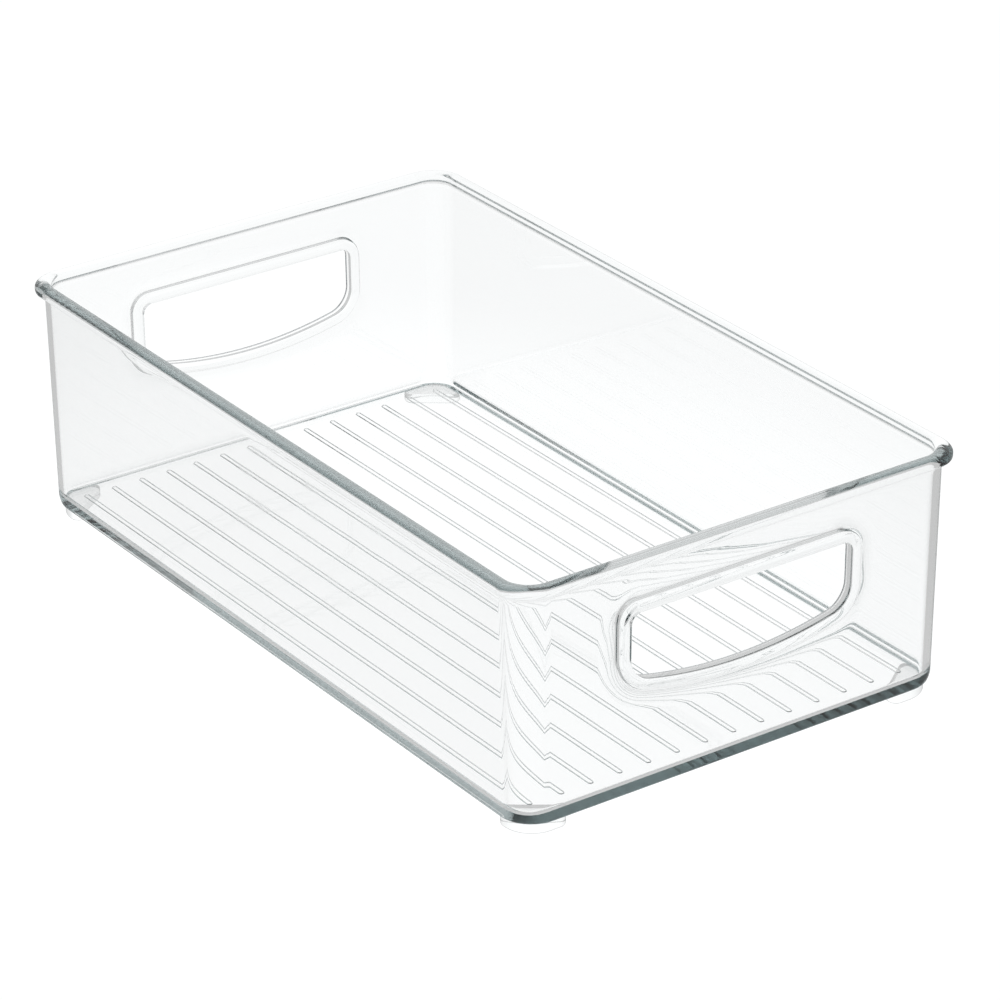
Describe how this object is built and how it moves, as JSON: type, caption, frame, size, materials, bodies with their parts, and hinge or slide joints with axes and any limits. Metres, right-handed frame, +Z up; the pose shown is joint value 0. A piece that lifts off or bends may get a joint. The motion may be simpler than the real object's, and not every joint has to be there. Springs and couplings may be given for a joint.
{
  "type": "fridge bin",
  "caption": "Clear open-top rectangular fridge bin with a rolled rim, a ribbed floor, a bow-bottomed hand hole in each short end and corner feet.",
  "frame": {"origin": "centre of the bounding box's bottom face, on the surface that the feet stand on", "axes": "+X along the length towards the front short end, +Y across the width, +Z up out of the open top"},
  "size_m": [0.254, 0.151, 0.076],
  "materials": {
    "clear_shell": "polished clear plastic with a faint blue-green tint",
    "clear_foot": "smooth clear plastic, slightly softer gloss than the shell"
  },
  "bodies": {
    "root": {"bin_shell": "clear_shell", "foot_front_left": "clear_foot", "foot_front_right": "clear_foot", "foot_back_left": "clear_foot", "foot_back_right": "clear_foot"}
  },
  "joints": []
}
